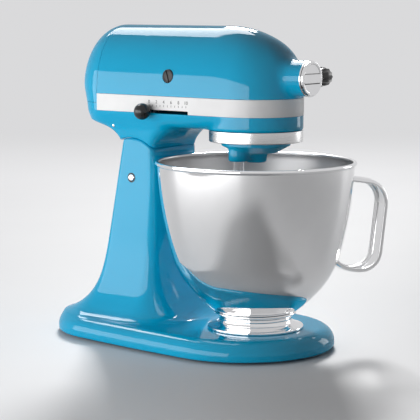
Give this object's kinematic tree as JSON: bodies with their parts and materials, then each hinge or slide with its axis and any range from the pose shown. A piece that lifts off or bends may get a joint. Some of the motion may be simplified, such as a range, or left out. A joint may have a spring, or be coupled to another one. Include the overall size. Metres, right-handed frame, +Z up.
{
  "type": "stand mixer",
  "caption": "Tilt-head stand mixer: polished bowl on a twist clamp, planetary beater drive, front attachment hub with a hinged cap, and slide levers for speed and head lock.",
  "frame": {"origin": "on the table, under the bowl's upright axis, where the middle rubber foot rests", "axes": "+Z up; -Y to the front, where the attachment hub points; +X to the right of someone facing the front"},
  "size_m": [0.2494, 0.373, 0.3535],
  "materials": {
    "paint": "gloss",
    "polished_steel": "polished",
    "chrome_trim": "polished",
    "satin_band": "satin",
    "cast_light": "satin",
    "plain_steel": "satin",
    "gear_steel": "satin",
    "lamination": "matte",
    "bronze": "satin",
    "winding": "gloss",
    "black_knob": "gloss",
    "dark_plastic": "matte",
    "rubber_foot": "matte",
    "rubber_gland": "matte"
  },
  "bodies": {
    "stand": {"base_casting": "paint", "base_feet": "rubber_foot", "bowl_clamp_plate": "plain_steel", "clamp_plate_screws": "plain_steel", "column_casting": "paint", "column_bolts": "plain_steel", "hinge_pin": "chrome_trim", "hinge_grub_screw": "plain_steel"},
    "bowl": {"bowl_shell": "polished_steel", "bowl_foot_ring": "polished_steel", "bowl_handle": "polished_steel"},
    "head": {"head_shell": "paint", "rear_cover": "paint", "trim_band": "satin_band", "lower_case": "paint", "drip_ring": "chrome_trim", "hub_sleeve": "chrome_trim", "hub_cap_pin": "chrome_trim", "hub_bush": "bronze", "ring_gear": "gear_steel", "shaft_bushes": "bronze", "gear_frame": "cast_light", "frame_screws": "plain_steel", "motor_bearings": "bronze", "stator_core": "lamination", "field_coils": "winding", "rear_bracket": "cast_light", "control_plate": "dark_plastic", "cover_screw": "plain_steel", "brush_holders": "bronze", "carbon_brushes": "dark_plastic", "brush_caps": "black_knob", "brush_springs": "plain_steel", "cord_gland": "rubber_gland"},
    "planetary": {"planetary_carrier": "paint", "beater_bush": "bronze", "centre_shaft": "plain_steel", "centre_spur_gear": "gear_steel", "centre_bevel_gear": "gear_steel"},
    "beater": {"beater_shaft": "polished_steel", "beater_gear": "gear_steel", "beater_cross_pin": "polished_steel"},
    "lay": {"lay_shaft": "plain_steel", "lay_pinion": "gear_steel", "lay_bevel_gear": "gear_steel"},
    "armature": {"motor_shaft": "plain_steel", "armature_core": "lamination", "commutator": "bronze", "cooling_fan": "dark_plastic", "governor": "plain_steel", "motor_pinion": "gear_steel"},
    "hub_drive": {"hub_shaft": "plain_steel", "hub_gear": "gear_steel"},
    "cap": {"hub_cap": "chrome_trim"},
    "knob": {"hub_knob": "black_knob", "hub_knob_stud": "plain_steel"},
    "speed_lever": {"speed_arm": "plain_steel", "speed_knob": "black_knob"},
    "lock_lever": {"lock_arm": "plain_steel", "lock_knob": "black_knob"}
  },
  "joints": [
    {"name": "head_tilt", "type": "hinge", "parent": "stand", "child": "head", "pos_m": [0, 0.144, 0.183], "axis": [-1, 0, 0], "range_deg": [0, 60]},
    {"name": "bowl_twist", "type": "hinge", "parent": "stand", "child": "bowl", "pos_m": [0, 0, 0.03], "axis": [0, 0, 1], "range_deg": [0, 36]},
    {"name": "planetary_spin", "type": "hinge", "parent": "head", "child": "planetary", "pos_m": [0, 0, 0.23], "axis": [0, 0, 1], "continuous": true},
    {"name": "beater_spin", "type": "hinge", "parent": "planetary", "child": "beater", "pos_m": [-0.02585, 0.00456, 0.2], "axis": [0, 0, 1], "continuous": true},
    {"name": "lay_spin", "type": "hinge", "parent": "head", "child": "lay", "pos_m": [0, 0.045, 0.27], "axis": [0, 0, 1], "continuous": true},
    {"name": "motor_spin", "type": "hinge", "parent": "head", "child": "armature", "pos_m": [0, 0.12, 0.299], "axis": [0, 1, 0], "continuous": true},
    {"name": "hub_spin", "type": "hinge", "parent": "head", "child": "hub_drive", "pos_m": [0, -0.03, 0.299], "axis": [0, 1, 0], "continuous": true},
    {"name": "cap_swing", "type": "hinge", "parent": "head", "child": "cap", "pos_m": [0.0218, -0.069, 0.299], "axis": [0, 0, 1], "range_deg": [0, 110]},
    {"name": "knob_turn", "type": "hinge", "parent": "head", "child": "knob", "pos_m": [0.03, -0.057, 0.299], "axis": [1, 0, 0], "range_deg": [0, 360]},
    {"name": "speed_slide", "type": "slide", "parent": "head", "child": "speed_lever", "axis": [0, -1, 0], "range_m": [0, 0.052]},
    {"name": "lock_slide", "type": "slide", "parent": "head", "child": "lock_lever", "axis": [0, -1, 0], "range_m": [0, 0.02]}
  ],
  "couplings": [
    {"joint": "beater_spin", "follows": "planetary_spin", "ratio": -3.6923},
    {"joint": "lay_spin", "follows": "planetary_spin", "ratio": -4},
    {"joint": "motor_spin", "follows": "planetary_spin", "ratio": -8},
    {"joint": "hub_spin", "follows": "planetary_spin", "ratio": -1.5}
  ]
}
